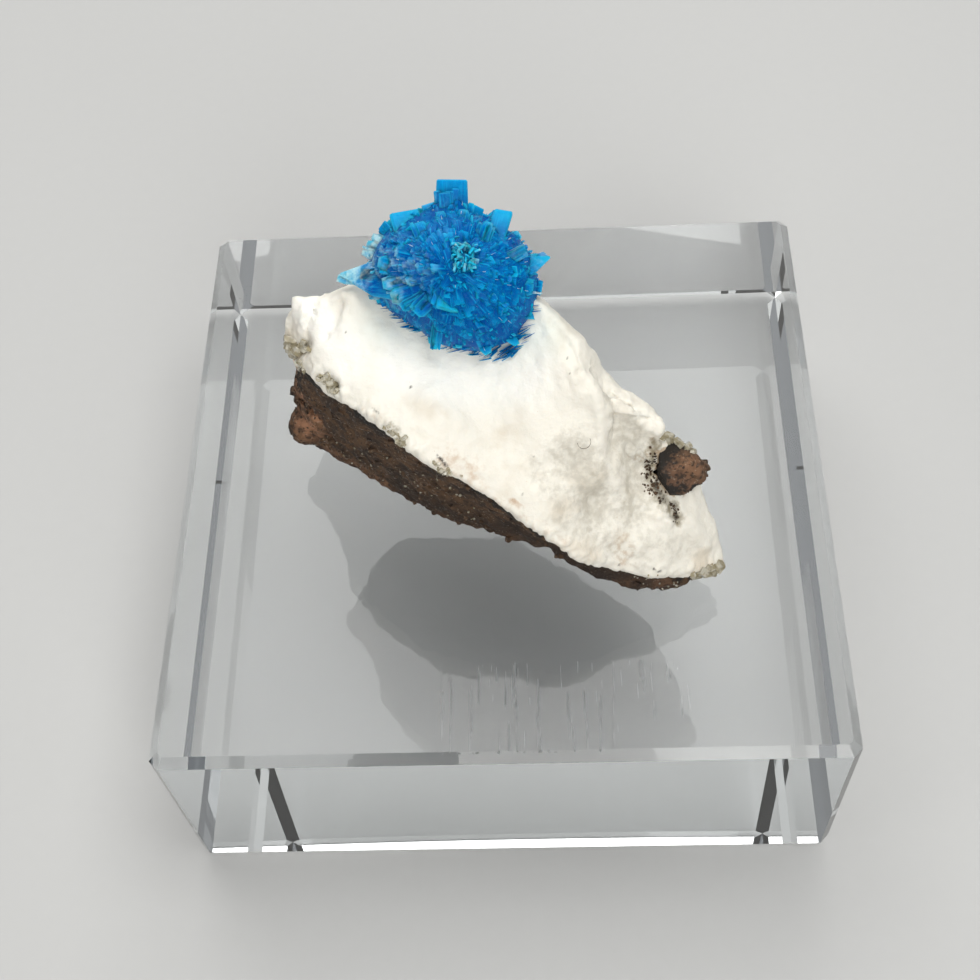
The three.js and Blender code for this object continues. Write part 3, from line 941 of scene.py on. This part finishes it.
frontBlades = [  # pixels of foot and tip, width, share of the mound at the tip, frost, tone, shape
    ((413, 262), (405, 212), 2.2, 1.0, 0.0, 0.9, 0),
    ((428, 258), (419, 222), 1.0, 1.0, 0.0, 0.4, 1),
    ((404, 262), (382, 225), 0.8, 1.0, 0.1, 0.6, 0),
    ((498, 262), (504, 211), 1.25, 1.0, 0.05, 1.0, 0),
    ((484, 250), (489, 222), 0.8, 1.0, 0.2, 0.5, 1),
    ((510, 278), (549, 258), 2.1, 1.0, 0.35, 1.0, 3),
    ((512, 262), (526, 250), 0.8, 1.0, 0.4, 0.6, 0),
    ((506, 284), (534, 290), 1.0, 0.99, 0.0, 0.4, 1),
    ((504, 296), (530, 312), 1.0, 1.03, 0.0, 0.5, 1),
    ((494, 304), (512, 334), 1.1, 1.06, 0.0, 0.6, 1),
    ((500, 294), (504, 318), 1.0, 1.0, 0.1, 1.0, 0),
    ((478, 308), (484, 342), 1.0, 1.03, 0.0, 0.4, 1),
    ((452, 294), (447, 311), 1.5, 0.98, 0.1, 1.0, 0),
    ((438, 310), (435, 344), 0.7, 1.08, 0.2, 1.0, 1),
    ((432, 298), (414, 316), 1.0, 0.95, 0.0, 0.5, 1),
    ((420, 288), (386, 300), 1.2, 0.92, 0.45, 0.9, 1),
    ((424, 296), (398, 310), 0.8, 0.94, 0.2, 0.5, 1),
    ((388, 279), (341, 275), 2.7, 1.0, 0.8, 1.0, 3),
    ((412, 278), (378, 285), 0.9, 0.94, 0.5, 0.8, 1),
    ((408, 266), (374, 261), 1.0, 0.95, 0.3, 0.6, 1),
    ((400, 258), (367, 243), 0.7, 1.0, 0.7, 0.9, 1),
    ((398, 264), (362, 252), 0.6, 1.0, 0.8, 0.8, 1),
    ((396, 254), (372, 236), 0.7, 1.0, 0.8, 0.9, 1),
    ((446, 236), (440, 210), 0.8, 0.98, 0.1, 0.3, 1),
    ((462, 236), (464, 208), 0.9, 0.98, 0.0, 0.4, 1),
]
marginNeedles = [  # pixels along the mound's foot, lean of the needles in the picture
    ([(370, 297), (381, 308), (392, 319), (405, 328), (420, 337)], (-1.0, 0.08)),
    ([(379, 301), (390, 312), (401, 322), (415, 332)], (-1.0, 0.15)),
    ([(426, 340), (440, 349), (462, 354), (476, 355)], (-0.9, 0.25)),
    ([(472, 355), (486, 357), (500, 356), (509, 351)], (-0.88, 0.47)),
    ([(478, 360), (494, 361), (507, 356)], (-0.88, 0.47)),
    ([(510, 349), (524, 337), (535, 323)], (0.8, -0.5)),
    ([(514, 353), (528, 341), (538, 328)], (0.8, -0.5)),
    ([(541, 314), (543, 302)], (0.95, -0.1)),
]


def makeBladeMasters():
    masters = []
    shapes = (  # name, sides, width and thickness of the end, where the end begins
        ("flat", 8, 0.92, 0.5, 0.97),
        ("chisel", 6, 0.6, 0.1, 0.86),
        ("point", 6, 0.15, 0.3, 0.6),
        ("wedge", 8, 0.08, 0.6, 0.42),
    )
    for name, sides, endWide, endThick, shoulder in shapes:
        bpy.ops.mesh.primitive_cylinder_add(
            vertices=sides, radius=0.5, depth=1, location=(0, 0, 0.5), rotation=(0, 0, math.pi / sides)
        )
        blade = bpy.context.object
        blade.name = f"{name}Blade"
        bpy.ops.object.transform_apply()
        bpy.ops.object.mode_set(mode="EDIT")
        bpy.ops.mesh.select_all(action="SELECT")
        bpy.ops.mesh.bisect(plane_co=(0, 0, shoulder), plane_no=(0, 0, 1))
        bpy.ops.object.mode_set(mode="OBJECT")
        for vertex in blade.data.vertices:
            if sides == 8:  # a plate with narrow bevels along its edges
                inner = abs(vertex.co.x) < 0.3
                vertex.co.x = math.copysign(0.43 if inner else 0.5, vertex.co.x)
                vertex.co.y = math.copysign(0.5 if inner else 0.25, vertex.co.y)
            if vertex.co.z < 0.01:
                vertex.co.x *= 1.15
            if vertex.co.z > 0.99:
                vertex.co.x *= endWide
                vertex.co.y *= endThick
        masters.append(blade)
    return masters


moundCentre = Vector(rosetteValues["centre"])


def toSphere(vector):  # the mound is a sphere pressed out of round
    return Vector([a / b for a, b in zip(vector, rosetteValues["radii"])])


def toMound(vector):
    return Vector([a * b for a, b in zip(vector, rosetteValues["radii"])])


def moundTip(px, py):  # where a pixel's ray meets the mound, from its centre
    start, way = pixelRay(px, py)
    start = toSphere(start - moundCentre)
    way = toSphere(way)
    half = start.dot(way) / way.dot(way)
    rest = half * half - (start.dot(start) - 1) / way.dot(way)
    return toMound(start + way * (-half - math.sqrt(max(rest, 0))))


def moundReach(way):
    return 1 / toSphere(way).length


crownWay = moundTip(*rosetteValues["crown"]).normalized()


def setBladeLayers(mesh, tint, local):  # tint: share along the blade, tone, frost and painted edge highlight
    setLayer(mesh, "bladeTint", tint, "FLOAT_COLOR", "color")
    setLayer(mesh, "bladePlace", local, "FLOAT_VECTOR", "vector")


def addBlade(parts, master, foot, tip, roll, width, frost, tone, facing=(0, 0, 1), highlightShare=0.5):
    values = rosetteValues
    mesh = master.data.copy()
    length = (tip - foot).length
    thick = min(width * values["thickness"], values["thickest"])
    size = Matrix.Diagonal((width, thick, length, 1))
    axis = (tip - foot).normalized()
    across = Vector(facing).cross(axis).normalized()
    turn = Matrix((across, axis.cross(across), axis)).transposed().to_4x4()
    turn = turn @ Matrix.Rotation(math.radians(roll), 4, "Z")
    along = np.array([vertex.co.z for vertex in mesh.vertices])
    # painted highlight: the blade's sides and end get a paler edge colour
    edge = np.array([abs(vertex.co.x) > 0.44 or vertex.co.z > 0.99 for vertex in mesh.vertices], float)
    local = np.array([(v.co.x * width, v.co.y * width, v.co.z * length) for v in mesh.vertices])
    local += tone * np.array(values["streakShift"])
    mesh.transform(Matrix.Translation(foot) @ turn @ size)
    count = len(mesh.vertices)
    tint = np.stack([along, np.full(count, tone), np.full(count, frost), edge * highlightShare], 1)
    setBladeLayers(mesh, tint, local)
    parts.append(addObject("blade", mesh))


def addRimBlades(parts, masters, chance, sheaf):  # one broad blade in a fan of narrower ones
    way, length, width, roll, frost, _, shape = sheaf
    foot = moundCentre + way * length * 0.5
    tip = moundCentre + way * length
    addBlade(parts, masters[shape], foot, tip, roll, width, frost, chance.uniform(0.5, 1))
    across = Vector((0, 0, 1)).cross(way).normalized()
    facing = way.cross(across)
    for i in range(rosetteValues["rimFan"]):
        place = chance.uniform(-1, 1)
        side = across * place * width * 0.45 + facing * chance.uniform(-0.25, 0.25) * width
        fan = across * place * 0.14 + facing * chance.gauss(0, 0.05)
        reach = length * (0.96 - 0.2 * abs(place) - chance.uniform(0, 0.1))
        tip = moundCentre + side + (way + fan) * reach
        master = chance.choice(masters[:2])
        turn = roll + chance.gauss(0, 8)
        narrow = width * chance.uniform(0.16, 0.42)
        addBlade(parts, master, foot + side, tip, turn, narrow, frost, chance.random())


def addFrontBlades(parts, masters, chance):  # they lie along the mound with narrower ones beside
    for footPixel, tipPixel, width, share, frost, tone, shape in frontBlades:
        foot = moundTip(*footPixel)
        tip = moundTip(*tipPixel)
        facing = (foot + tip).normalized()
        closeness = 0.6  # of its width, which the narrower ones keep to
        if abs(footPixel[0] - tipPixel[0]) < abs(footPixel[1] - tipPixel[1]) / 2:  # its end is level
            facing = (cameraTurn @ Vector((1, 0, 0))).cross(tip - foot).normalized()
        if shape == 3:  # a pointed plate that faces the viewer
            facing = cameraTurn @ Vector((0, 0.2, 1))
            closeness = 0.2
        foot = moundCentre + foot * rosetteValues["frontFoot"]
        tip = moundCentre + tip * share
        across = facing.cross(tip - foot).normalized()
        addBlade(parts, masters[shape], foot, tip, 0, width, frost, tone, facing)
        for i in range(rosetteValues["frontFan"]):
            side = across * chance.uniform(-1, 1) * closeness * width + facing * chance.uniform(-0.2, 0.12)
            short = (tip - foot) * chance.uniform(-0.25, 0.02) / closeness * 0.6
            master = chance.choice(masters[:2])
            end = tip + side + short + across * chance.gauss(0, 0.12)
            roll = chance.gauss(0, 15)
            narrow = width * chance.uniform(0.15, 0.35)
            addBlade(parts, master, foot + side, end, roll, narrow, frost, chance.random(), facing)


def addCluster(parts, masters, chance):  # the pale bunch of blade ends near the crown
    values = rosetteValues
    for i in range(values["clusterBlades"]):
        px = values["cluster"][0] + chance.uniform(-1, 1) * values["clusterSize"][0]
        py = values["cluster"][1] + chance.uniform(-1, 1) * values["clusterSize"][1]
        way = moundTip(px, py)
        tip = moundCentre + way + way.normalized() * chance.uniform(0.0, 0.3)
        lean = Vector([chance.gauss(0, 0.16) for _ in range(3)])
        foot = tip - (way.normalized() + lean) * 0.9
        frost = chance.uniform(0.1, 0.65)
        width = chance.uniform(0.22, 0.6)
        addBlade(parts, chance.choice(masters[:2]), foot, tip, chance.uniform(0, 180), width, frost, 1.0)


def spiralWays(count):  # directions spread evenly over the mound by the golden angle
    goldenAngle = math.pi * (3 - math.sqrt(5))
    top, bottom = rosetteValues["spiralRise"]
    ways = []
    for i in range(count):
        rise = top - (top - bottom) * (i + 0.5) / count
        reach = math.sqrt(1 - rise * rise)
        way = Vector((reach * math.cos(i * goldenAngle), reach * math.sin(i * goldenAngle), rise))
        ways.append(toMound(way).normalized())
    return ways


def sharesAt(ways, sheaves):  # share of the mound and frost near many directions
    lengths = np.array([sheaf[1] / moundReach(sheaf[0]) for sheaf in sheaves])
    frosts = np.array([sheaf[4] for sheaf in sheaves])
    shares = np.array([sheaf[5] for sheaf in sheaves])
    nearness = np.array(ways) @ np.array([sheaf[0] for sheaf in sheaves]).T - 1
    weights = np.exp(12 * nearness)
    weights /= weights.sum(axis=1, keepdims=True)
    rise = np.exp(60 * nearness) * (lengths - shares)  # the mound rises a little to each broad blade
    return weights @ shares + 0.55 * rise.max(axis=1).clip(0), weights @ frosts


def awayFromCrown(way):  # level direction on the mound, growing to full length
    aside = way - crownWay * way.dot(crownWay)
    return aside.normalized() * min(1, aside.length / 0.5)


def addNeedles(parts, masters, chance, sheaves):
    values = rosetteValues
    glintEvery = values["needles"] // values["flakes"]
    ways = spiralWays(values["needles"])
    shares, frosts = sharesAt(ways, sheaves)
    for i, way in enumerate(ways):
        lean = Vector([chance.gauss(0, 0.12) for _ in range(3)])
        axis = (way + awayFromCrown(way) * values["spread"] + lean).normalized()
        length = chance.uniform(*values["needleLength"])
        tip = moundCentre + way * moundReach(way) * shares[i] * chance.uniform(0.95, 1.025)
        width = chance.triangular(*values["needleWidth"], values["needleWidth"][0])
        frost = frosts[i] * 0.6
        if i % glintEvery == 0:  # a thin pale one that stands out a little, a painted glint
            width *= 0.24
            frost = 1.2
            tip += way * 0.06
        foot = tip - axis * length
        roll = chance.gauss(0, 35)
        tone = chance.random() ** 2
        addBlade(parts, chance.choice(masters), foot, tip, roll, width, frost, tone, way, 0.1)


def addRearBlades(parts, masters, chance):  # larger ones on the rear half, which the photo doesn't show
    values = rosetteValues
    low, high = values["rearAzimuth"]
    for i in range(values["rearBlades"]):
        azimuth = low + (high - low) * (i + chance.random()) / values["rearBlades"]
        way = wayOf(azimuth, chance.uniform(*values["rearElevation"]))
        axis = (way + awayFromCrown(way) * chance.uniform(*values["rearSpread"])).normalized()
        tip = moundCentre + way * moundReach(way) * chance.uniform(0.98, 1.06)
        foot = tip - axis * chance.uniform(*values["rearLength"])
        width = chance.triangular(*values["rearWidth"], values["rearWidth"][0])
        roll = chance.gauss(0, 60)
        frost = chance.uniform(0, 0.25)
        addBlade(parts, chance.choice(masters), foot, tip, roll, width, frost, chance.random(), way)


def addMarginNeedles(parts, masters, chance):  # short dark needles that lie on the white foot
    step = rosetteValues["marginStep"]
    for pixels, lean in marginNeedles:
        for start, end in zip(pixels, pixels[1:]):
            apart = math.dist(start, end)
            for i in range(int(apart / step)):
                share = (i + chance.random()) * step / apart
                px = start[0] + (end[0] - start[0]) * share + chance.gauss(0, 1.6)
                py = start[1] + (end[1] - start[1]) * share + chance.gauss(0, 0.9)
                reach = chance.uniform(*rosetteValues["marginLength"])
                tip, up = onSurface(stoneTree, px, py)
                bend = chance.gauss(0, 0.12)
                foot, up = onSurface(stoneTree, px - lean[0] * reach, py - (lean[1] + bend) * reach)
                lift = chance.uniform(0.02, 0.14)
                foot += up * (lift + 0.2)
                tip += up * lift
                roll = chance.uniform(0, 180)
                width = chance.uniform(0.07, 0.17)
                addBlade(parts, masters[2], foot, tip, roll, width, -0.5, chance.random())


def fuseBlades(heart, chance, sheaves):  # lifts the heart's skin into overlapping blade ends
    values = rosetteValues
    seeds = spiralWays(values["fusedBlades"])
    tree = KDTree(len(seeds))
    axes = []
    for i, way in enumerate(seeds):
        reach = way * moundReach(way)
        tree.insert(reach, i)
        axis = awayFromCrown(way).normalized()
        axis.rotate(Matrix.Rotation(chance.gauss(0, values["fusedTurn"]), 3, way))
        axes.append((axis, way.cross(axis)))
    tree.balance()
    sizes = []
    for _ in seeds:
        length = chance.uniform(*values["fusedLength"])
        sizes.append((length, chance.triangular(*values["fusedWidth"])))
    lifts = [chance.uniform(-0.1, 0.1) for _ in seeds]
    tones = [chance.random() for _ in seeds]
    points = corners(heart)
    ways = points / np.linalg.norm(points, axis=1, keepdims=True)
    shares, frosts = sharesAt(ways, sheaves)
    tint = np.zeros((len(points), 4))
    local = np.zeros((len(points), 3))
    shift = np.array(values["streakShift"])
    for i, way in enumerate(ways):
        way = Vector(way)
        place = way * moundReach(way)
        best = None  # the blade end that stands highest here
        for seedPlace, k, apart in tree.find_n(place, values["fusedNear"]):
            axis, across = axes[k]
            length, width = sizes[k]
            gap = place - seedPlace
            along = gap.dot(axis) / length
            aside = gap.dot(across) / width
            height = lifts[k] + values["fusedHeight"] * (along + 0.5) - 4 * max(0, abs(aside) - 0.3) ** 2
            if along > 0.5:  # past its end it falls off sharply
                height -= 8 * (along - 0.5)
            if best is None or height > best[0]:
                best = (height, along + 0.5, aside, k)
        height, along, aside, k = best
        height = max(height, -0.5)
        points[i] = way * (place.length * shares[i] * values["heartShare"] + height)
        # painted highlight along the sides and ends of the fused blades
        edge = min(1, max(0, abs(aside) * 8 - 3.4, along * 12 - 11.4))
        tint[i] = (min(1, max(0, along)), tones[k], frosts[i], edge * tones[k] * 0.6)
        local[i] = (aside * sizes[k][1], 0, along * sizes[k][0])
        local[i] += tones[k] * shift
    setCorners(heart, points + np.array(moundCentre))
    setBladeLayers(heart.data, tint, local)


def makeHeart(chance, sheaves):
    bpy.ops.object.select_all(action="DESELECT")
    bpy.ops.mesh.primitive_ico_sphere_add(subdivisions=7, radius=1)
    heart = bpy.context.object
    heart.scale = rosetteValues["radii"]
    bpy.ops.object.transform_apply()
    fuseBlades(heart, chance, sheaves)
    return heart


def makeRosette():
    chance = random.Random(7)
    masters = makeBladeMasters()
    sheaves = [(wayOf(*blade[:2]),) + blade[2:] for blade in rimBlades]
    heart = makeHeart(chance, sheaves)
    parts = []
    for sheaf in sheaves:
        addRimBlades(parts, masters, chance, sheaf)
    addFrontBlades(parts, masters, chance)
    addCluster(parts, masters, chance)
    addNeedles(parts, masters, chance, sheaves)
    addMarginNeedles(parts, masters, chance)
    addRearBlades(parts, masters, chance)
    joinInto(heart, parts)
    heart.name = "cavansiteSpray"
    for master in masters:
        bpy.data.objects.remove(master)
    return heart


def cavansiteMaterial():
    values = rosetteValues
    material, tree, shader = newMaterial("blueCavansite", **values["surface"])
    tint = addNode(tree, "ShaderNodeAttribute", attribute_name="bladeTint").outputs
    split = addNode(tree, "ShaderNodeSeparateColor", {"Color": tint["Color"]}).outputs
    along, tone, frost = split["Red"], split["Green"], split["Blue"]
    place = addNode(tree, "ShaderNodeAttribute", attribute_name="bladePlace").outputs["Vector"]
    streakPlace = addNode(tree, "ShaderNodeMapping", {"Vector": place, "Scale": (9, 9, 0.5)}).outputs[0]
    inputs = {"Vector": streakPlace, "Scale": 1.0, "Detail": 4.0}
    streak = addNode(tree, "ShaderNodeTexNoise", inputs).outputs["Fac"]
    mottle = grainNoise(tree, 0.35, 3)
    glow = times(window(along, 0.55, 1.0), window(tone, 0.3, 1.0, 0.05, 0.9))
    ice = times(frost, window(grainNoise(tree, 0.6, 5), 0.35, 0.65, 0.35, 1))
    ice = times(ice, window(along, 0.2, 0.9))
    colour = coats(
        mixed(window(along, 0.4, 0.95), values["deep"], values["blue"]),
        (window(grainNoise(tree, 1.5, 3), 0.42, 0.62, 0.6, 0), values["deep"]),
        (window(mottle, 0.5, 0.36, 0, 0.4), values["deep"]),
        (glow, values["bright"]),
        (window(streak, 0.5, 0.7, 0, 0.7), values["bright"]),
        (window(mottle, 0.55, 0.68, 0, 0.25), values["bright"]),
        # painted highlight along blade edges and ends
        (times(tint["Alpha"], 0.75), values["rim"]),
        (window(frost, -0.1, -0.5, 0, 0.85), values["deep"]),
        (window(ice, 0.1, 1.0), values["frost"]),
    )
    link(colour, shader, "Base Color")
    addBump(shader, (streak, 0.025), (mottle, 0.08))
    return material


rosette = makeRosette()
bpy.data.objects.remove(grainMaster)
print("rosette grown,", len(rosette.data.polygons), "faces")

bringDown(basalt, basaltMaterial(), "basalt", "basalt_matrix")
bringDown(crust, crustMaterial(), "zeolite", "zeolite_crust")
bringDown(glass, glassMaterial(), "zeolite")
bringDown(rosette, cavansiteMaterial(), "cavansite", "cavansite_rosette")
print("pieces dressed")
